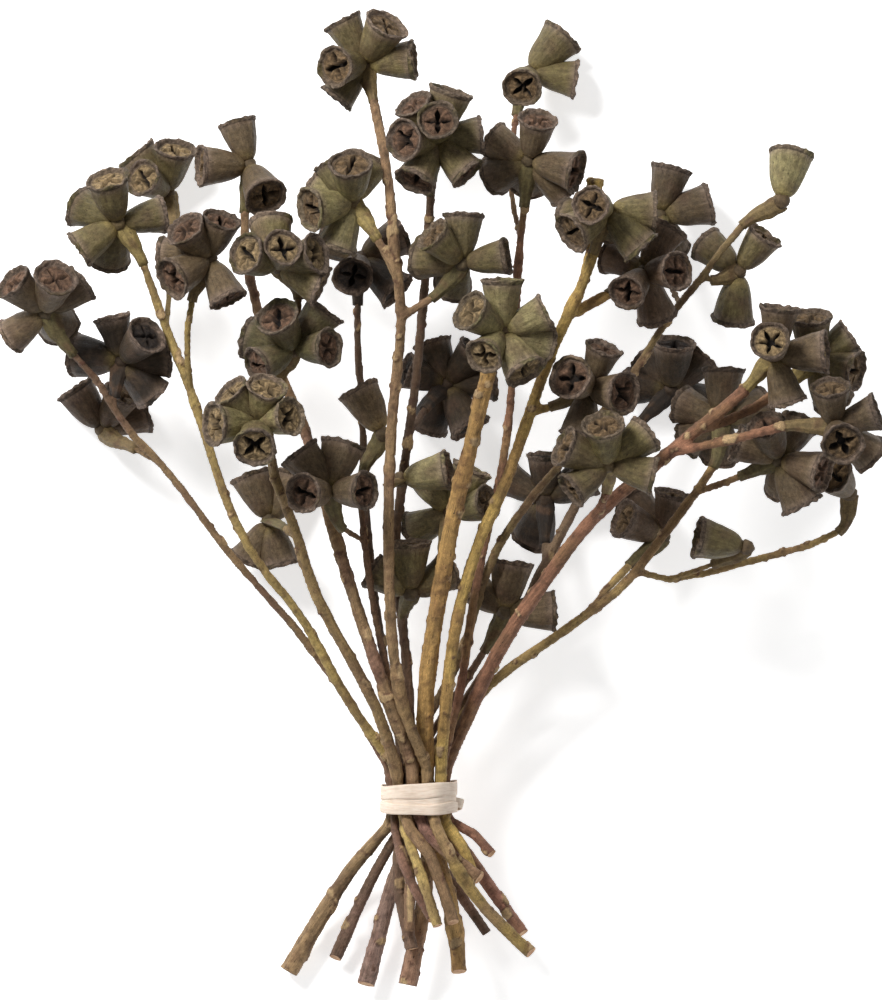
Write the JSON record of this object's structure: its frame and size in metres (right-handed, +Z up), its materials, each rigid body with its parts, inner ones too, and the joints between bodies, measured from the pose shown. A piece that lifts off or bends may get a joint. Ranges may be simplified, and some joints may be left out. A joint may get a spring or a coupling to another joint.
{
  "type": "bunch of dried eucalyptus",
  "caption": "Hand-tied bunch of dried eucalyptus: woody stems carry bell-shaped seed capsules on flat stalks, held by a flat rubber band, lying down.",
  "frame": {"origin": "centre of the bounding box in x and y, on the surface the bunch lies on", "axes": "+Y from the cut ends to the heads, +X to the right seen from above, +Z up from the surface"},
  "size_m": [0.3368, 0.3744, 0.1267],
  "materials": {
    "stem_left_outer": "dry matt bark",
    "stem_left_green": "dry matt bark",
    "stem_left_olive": "dry matt bark",
    "stem_mauve": "dry matt bark",
    "stem_slim": "dry matt bark",
    "stem_central": "dry matt bark",
    "stem_back_dark": "dry matt bark",
    "stem_back_middle": "dry matt bark",
    "stem_golden_thick": "dry matt bark",
    "stem_golden_slim": "dry matt bark",
    "stem_reddish": "dry matt bark",
    "stem_red_thick": "dry matt bark",
    "stem_right_green": "dry matt bark",
    "stem_short_back": "dry matt bark",
    "stem_grey_back": "dry matt bark",
    "stem_long_olive": "dry matt bark",
    "capsules_far_left": "dry matt woody capsule",
    "capsules_low_left": "dry matt woody capsule",
    "capsules_left_inner": "dry matt woody capsule",
    "capsules_left_high": "dry matt woody capsule",
    "capsules_left_mid": "dry matt woody capsule",
    "capsules_left_top": "dry matt woody capsule",
    "capsules_centre_left": "dry matt woody capsule",
    "capsules_front_left": "dry matt woody capsule",
    "capsules_left_low_pair": "dry matt woody capsule",
    "capsules_cream_pair": "dry matt woody capsule",
    "capsules_trio": "dry matt woody capsule",
    "capsules_single_middle": "dry matt woody capsule",
    "capsules_star_pair": "dry matt woody capsule",
    "capsules_crown": "dry matt woody capsule",
    "capsules_upper_left": "dry matt woody capsule",
    "capsules_centre_fork": "dry matt woody capsule",
    "capsules_single_right": "dry matt woody capsule",
    "capsules_dark_star": "dry matt woody capsule",
    "capsules_top_star": "dry matt woody capsule",
    "capsules_upright_pair": "dry matt woody capsule",
    "capsules_shadow": "dry matt woody capsule",
    "capsules_front_middle": "dry matt woody capsule",
    "capsules_pale_pair": "dry matt woody capsule",
    "capsules_upper_right": "dry matt woody capsule",
    "capsules_right_stars": "dry matt woody capsule",
    "capsules_right_brown": "dry matt woody capsule",
    "capsules_top_right_low": "dry matt woody capsule",
    "capsules_top_right_high": "dry matt woody capsule",
    "capsules_star_right": "dry matt woody capsule",
    "capsules_front_right": "dry matt woody capsule",
    "capsules_far_right": "dry matt woody capsule",
    "capsules_far_right_star": "dry matt woody capsule",
    "capsules_right_mid": "dry matt woody capsule",
    "capsules_right_five": "dry matt woody capsule",
    "capsules_right_tip": "dry matt woody capsule",
    "capsules_right_single": "dry matt woody capsule",
    "capsules_right_low": "dry matt woody capsule",
    "capsules_short_pair": "dry matt woody capsule",
    "capsules_right_dark": "dry matt woody capsule",
    "capsules_behind": "dry matt woody capsule",
    "capsules_right_pale": "dry matt woody capsule",
    "capsules_right_trio": "dry matt woody capsule",
    "capsules_right_upper_back": "dry matt woody capsule",
    "tie_band": "soft matt rubber"
  },
  "bodies": {
    "root": {"stem_left_outer": "stem_left_outer", "stem_left_green": "stem_left_green", "stem_left_olive": "stem_left_olive", "stem_mauve": "stem_mauve", "stem_slim": "stem_slim", "stem_central": "stem_central", "stem_back_dark": "stem_back_dark", "stem_back_middle": "stem_back_middle", "stem_golden_thick": "stem_golden_thick", "stem_golden_slim": "stem_golden_slim", "stem_reddish": "stem_reddish", "stem_red_thick": "stem_red_thick", "stem_right_green": "stem_right_green", "stem_short_back": "stem_short_back", "stem_grey_back": "stem_grey_back", "stem_long_olive": "stem_long_olive", "capsules_far_left": "capsules_far_left", "capsules_low_left": "capsules_low_left", "capsules_left_inner": "capsules_left_inner", "capsules_left_high": "capsules_left_high", "capsules_left_mid": "capsules_left_mid", "capsules_left_top": "capsules_left_top", "capsules_centre_left": "capsules_centre_left", "capsules_front_left": "capsules_front_left", "capsules_left_low_pair": "capsules_left_low_pair", "capsules_cream_pair": "capsules_cream_pair", "capsules_trio": "capsules_trio", "capsules_single_middle": "capsules_single_middle", "capsules_star_pair": "capsules_star_pair", "capsules_crown": "capsules_crown", "capsules_upper_left": "capsules_upper_left", "capsules_centre_fork": "capsules_centre_fork", "capsules_single_right": "capsules_single_right", "capsules_dark_star": "capsules_dark_star", "capsules_top_star": "capsules_top_star", "capsules_upright_pair": "capsules_upright_pair", "capsules_shadow": "capsules_shadow", "capsules_front_middle": "capsules_front_middle", "capsules_pale_pair": "capsules_pale_pair", "capsules_upper_right": "capsules_upper_right", "capsules_right_stars": "capsules_right_stars", "capsules_right_brown": "capsules_right_brown", "capsules_top_right_low": "capsules_top_right_low", "capsules_top_right_high": "capsules_top_right_high", "capsules_star_right": "capsules_star_right", "capsules_front_right": "capsules_front_right", "capsules_far_right": "capsules_far_right", "capsules_far_right_star": "capsules_far_right_star", "capsules_right_mid": "capsules_right_mid", "capsules_right_five": "capsules_right_five", "capsules_right_tip": "capsules_right_tip", "capsules_right_single": "capsules_right_single", "capsules_right_low": "capsules_right_low", "capsules_short_pair": "capsules_short_pair", "capsules_right_dark": "capsules_right_dark", "capsules_behind": "capsules_behind", "capsules_right_pale": "capsules_right_pale", "capsules_right_trio": "capsules_right_trio", "capsules_right_upper_back": "capsules_right_upper_back", "tie_band": "tie_band"}
  },
  "joints": []
}
